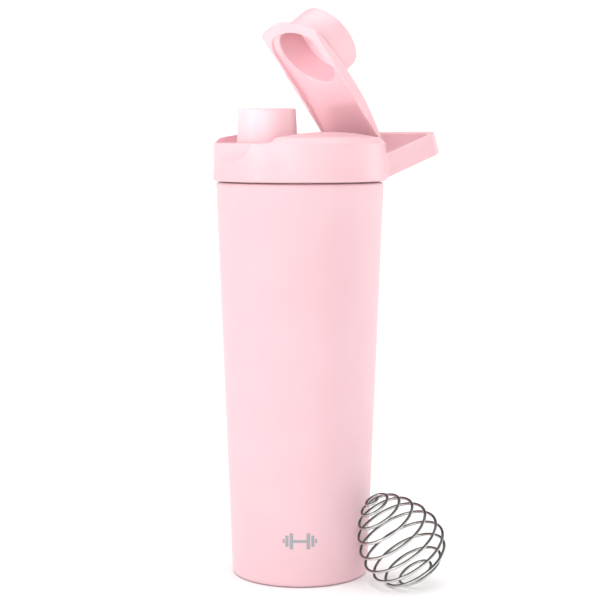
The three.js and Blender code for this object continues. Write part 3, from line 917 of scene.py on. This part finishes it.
def flipCap(x, y, z):
    hat = taper(x, y, z, cap["y"], cap["baseRadius"], cap["topRadius"], cap["root"], cap["top"])
    hat = roundBoth(hat, z - cap["top"], cap["edge"])
    hat = np.maximum(hat, cap["root"] - z)
    shape = roundEither(flipArm(x, y, z), hat, cap["fillet"])
    shape = roundCut(shape, armTray(x, y, z), flip["trayEdge"])
    cavity = np.sqrt(x * x + (y - cap["y"]) ** 2) - cap["cavity"]
    cavity = roundBoth(cavity, z - cap["ceiling"], cap["ceilingFillet"])
    shape = roundCut(shape, cavity, cap["mouthEdge"])
    hole = crossRod(y, z, hinge["y"], hinge["z"], hinge["pin"] + hinge["clearance"])
    return roundCut(shape, hole, 0.3)


def opened(points, about=True):
    # turn points, or directions, from the closed cap to the open one
    a = math.radians(flip["open"])
    shift = np.array([0, hinge["y"], hinge["z"]]) if about else np.zeros(3)
    x, y, z = (points - shift).T
    turnedPoints = np.stack([x, y * math.cos(a) + z * math.sin(a), z * math.cos(a) - y * math.sin(a)], 1)
    return turnedPoints + shift


def makeFlipCap():
    side = flip["halfWidth"] + 1
    low = (-side, -lid["topRadius"] - 1, hinge["z"] - flip["knuckle"] - 0.9)
    high = (side, hinge["y"] + flip["knuckle"] + 1.4, cap["top"] + 1)
    points, quads = skinOf(flipCap, low, high, flip["cell"])
    normals = opened(gradientOf(flipCap, points), about=False)
    finishMesh("flipCap", opened(points), quads, "flip", ["flip_cap"], plastic, normals)


def capSeal():
    k = capSealSize
    outline = softOutline([
        (0, k["bottom"] + k["groove"], 0), (spout["bore"] - 1.5, k["bottom"] + k["groove"], 0.2),
        (spout["bore"] - 1, k["bottom"], 0.2), (k["radius"], k["bottom"], 0.3), (k["radius"], k["top"], 0.3),
        (0, k["top"], 0),
    ], closed=False, gap=0.12)
    points, faces = turned(outline, closed=False, segments=128)
    points = opened(points + (0, cap["y"], 0))
    finishMesh("capSeal", points, faces, "flip", ["cap_seal"], silicone)


makeFlipCap()
capSeal()
print("flip cap ready")


# The whisk ball.

whisk = {
    "wire": 0.75, "radius": 20.15, "halfLength": 24.1, "egg": 0.305, "startPolar": 11.0, "endPolar": 168.5,
    "turns": 9.1, "phase": 114.0, "tilt": 33.1, "azimuth": 257.2, "stepsPerTurn": 72,
}


def spiralPath():
    # one wire wound about a tilted axis in an egg shape, small end first
    k = whisk
    t = np.linspace(0, 1, int(k["turns"] * k["stepsPerTurn"]))
    polar = np.radians(k["startPolar"] + (k["endPolar"] - k["startPolar"]) * t)
    turn = math.radians(k["phase"]) - 2 * math.pi * k["turns"] * t
    r = k["radius"] * np.sin(polar) * (1 - k["egg"] * np.cos(polar))
    x, y, z = r * np.cos(turn), r * np.sin(turn), k["halfLength"] * np.cos(polar)
    tilt, azimuth = math.radians(k["tilt"]), math.radians(k["azimuth"])
    x, z = x * math.cos(tilt) + z * math.sin(tilt), z * math.cos(tilt) - x * math.sin(tilt)
    x, y = x * math.cos(azimuth) - y * math.sin(azimuth), x * math.sin(azimuth) + y * math.cos(azimuth)
    return np.stack([x, y, z], 1)


def whiskBall():
    path = spiralPath()
    low, high = (np.array(corner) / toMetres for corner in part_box("whisk_ball"))
    path += (low + high) / 2 - (path.min(0) + path.max(0)) / 2
    points, faces = swept(path, whisk["wire"])
    finishMesh("whiskBall", points, faces, "whisk", ["whisk_ball"], wire)


whiskBall()
print("whisk ball ready")


# Floor, light and camera.

studio = {
    "cameraPlace": (0.6538, -0.4750, 0.2231),
    "cameraAim": (-0.8047, 0.5847, -0.1024),
    "lens": 96.07,
    "horizon": 1.2,       # strength of the white surround near the floor
    "overhead": 0.42,     # and above
    "leftward": 0.04,     # how much brighter the surround is on the camera's left
    "flagTurn": 62,       # a dimmer patch of the surround, to the camera's right
    "flagDepth": 0.25,
    "sun": 2.15,
    "key": {"turn": -56, "height": 0.18, "distance": 1.2, "size": (0.22, 0.6), "power": 1.35},
    "rim": {"turn": 112, "height": 0.35, "distance": 1.2, "size": (0.5, 1.1), "power": 3.6},
    "front": {"turn": 10, "height": 0.16, "distance": 1.3, "size": (1.0, 0.4), "power": 1.6},
    "wash": {
        "turn": -50, "height": 0.34, "distance": 0.78, "size": (0.9, 0.9), "power": 1.6,
        "aim": (0.10, -0.77, 0),
    },
    "capFill": {
        "turn": -58, "height": 0.22, "distance": 0.7, "size": (0.08, 0.05), "power": 0.0062, "spread": 6.5,
        "aim": (0, 0, 0.258),
    },
    "sideFill": {
        "turn": -14, "height": 0.25, "distance": 0.7, "size": (0.12, 0.08), "power": 0.0085, "spread": 8,
        "aim": (0, 0.005, 0.252),
    },
}


def makeFloor():
    mesh = bpy.data.meshes.new("studioFloor")
    turn = np.linspace(0, 2 * math.pi, floorLook["sides"], endpoint=False)
    rim = [(floorLook["radius"] * math.cos(a), floorLook["radius"] * math.sin(a), 0) for a in turn]
    mesh.from_pydata(rim, [], [list(range(len(rim)))])
    mesh.materials.append(paleFloor())
    floor = bpy.data.objects.new("studioFloor", mesh)
    bpy.context.scene.collection.objects.link(floor)


def turnedFrom(degrees):
    # level direction at an angle round the bottle from the camera's side
    a = math.atan2(studio["cameraPlace"][1], studio["cameraPlace"][0]) + math.radians(degrees)
    return (math.cos(a), math.sin(a), 0)


def softLight(name, settings):
    # turn is measured round the bottle from the camera's side, positive to its right
    x, y, _ = turnedFrom(settings["turn"])
    place = Vector((settings["distance"] * x, settings["distance"] * y, settings["height"]))
    data = bpy.data.lights.new(name, "AREA")
    data.shape = "RECTANGLE"
    data.size, data.size_y = settings["size"]
    data.energy = settings["power"]
    lamp = bpy.data.objects.new(name, data)
    lamp.location = place
    data.spread = math.radians(settings.get("spread", 180))
    aim = Vector(settings.get("aim", (0, 0, 0.13)))
    lamp.rotation_euler = (aim - place).to_track_quat("-Z", "Y").to_euler()
    bpy.context.scene.collection.objects.link(lamp)


def overheadSun():
    data = bpy.data.lights.new("overheadLight", "SUN")
    data.energy = studio["sun"]
    data.angle = math.radians(75)
    lamp = bpy.data.objects.new("overheadLight", data)
    bpy.context.scene.collection.objects.link(lamp)


def paleWorld():
    # a white surround, brightest at the horizon, with one dimmer patch
    world = bpy.data.worlds.new("studioWorld")
    world.use_nodes = True
    tree = world.node_tree

    def node(kind, **settings):
        made = tree.nodes.new(kind)
        for key, value in settings.items():
            setattr(made, key, value)
        return made

    def along(direction, low, high, outLow, outHigh):
        dot = node("ShaderNodeVectorMath", operation="DOT_PRODUCT")
        tree.links.new(coordinates.outputs["Generated"], dot.inputs[0])
        dot.inputs[1].default_value = direction
        ramp = node("ShaderNodeMapRange", interpolation_type="SMOOTHSTEP")
        tree.links.new(dot.outputs["Value"], ramp.inputs["Value"])
        for key, number in (("From Min", low), ("From Max", high), ("To Min", outLow), ("To Max", outHigh)):
            ramp.inputs[key].default_value = number
        return ramp.outputs["Result"]

    coordinates = node("ShaderNodeTexCoord")
    height = along((0, 0, 1), 0.12, 0.6, studio["horizon"], studio["overhead"])
    side = along(turnedFrom(-90), -1, 1, 1 - studio["leftward"], 1 + studio["leftward"])
    flag = along(turnedFrom(studio["flagTurn"]), 0.55, 0.98, 1, 1 - studio["flagDepth"])
    product = None
    for value in (height, side, flag):
        if product is None:
            product = value
            continue
        times = node("ShaderNodeMath", operation="MULTIPLY")
        tree.links.new(product, times.inputs[0])
        tree.links.new(value, times.inputs[1])
        product = times.outputs[0]
    shader = tree.nodes["Background"]
    shader.inputs["Color"].default_value = (1, 1, 1, 1)
    tree.links.new(product, shader.inputs["Strength"])
    bpy.context.scene.world = world


def aimCamera():
    data = bpy.data.cameras.new("studioCamera")
    data.lens = studio["lens"]
    data.sensor_width = 36
    data.clip_start, data.clip_end = 0.02, 40
    camera = bpy.data.objects.new("studioCamera", data)
    camera.location = studio["cameraPlace"]
    camera.rotation_euler = Vector(studio["cameraAim"]).to_track_quat("-Z", "Y").to_euler()
    bpy.context.scene.collection.objects.link(camera)
    bpy.context.scene.camera = camera


makeFloor()
paleWorld()
overheadSun()
for lightName in ("key", "rim", "front", "wash", "capFill", "sideFill"):
    softLight(lightName + "Light", studio[lightName])
aimCamera()
bpy.context.scene.view_settings.view_transform = "Standard"
print("studio ready")
